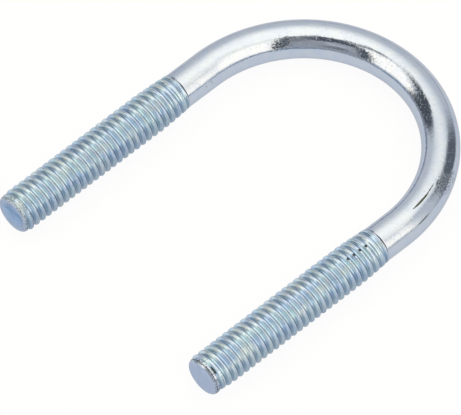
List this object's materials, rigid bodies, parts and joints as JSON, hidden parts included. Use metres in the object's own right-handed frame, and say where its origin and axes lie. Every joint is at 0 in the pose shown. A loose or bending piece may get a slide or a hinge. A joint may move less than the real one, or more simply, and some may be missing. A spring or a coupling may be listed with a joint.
{
  "type": "u-bolt",
  "caption": "Bare U-bolt: a round zinc-plated steel rod bent to a half circle, with two straight parallel legs threaded along most of their length.",
  "frame": {"origin": "centre of the half-circle bend, on the rod's centre plane: the clamped pipe's axis passes through it", "axes": "+Z along the clamped pipe's axis, +Y from the bend's centre to the crown of the bend, both legs point to -Y, +X to the leg with the longer thread"},
  "size_m": [0.0572, 0.0746, 0.008],
  "materials": {
    "zinc_plated_steel": "bright blue-white zinc plating over cold-formed steel, lightly pitted, threads more iridescent than the shank"
  },
  "bodies": {
    "root": {"threaded_u_rod": "zinc_plated_steel"}
  },
  "joints": []
}
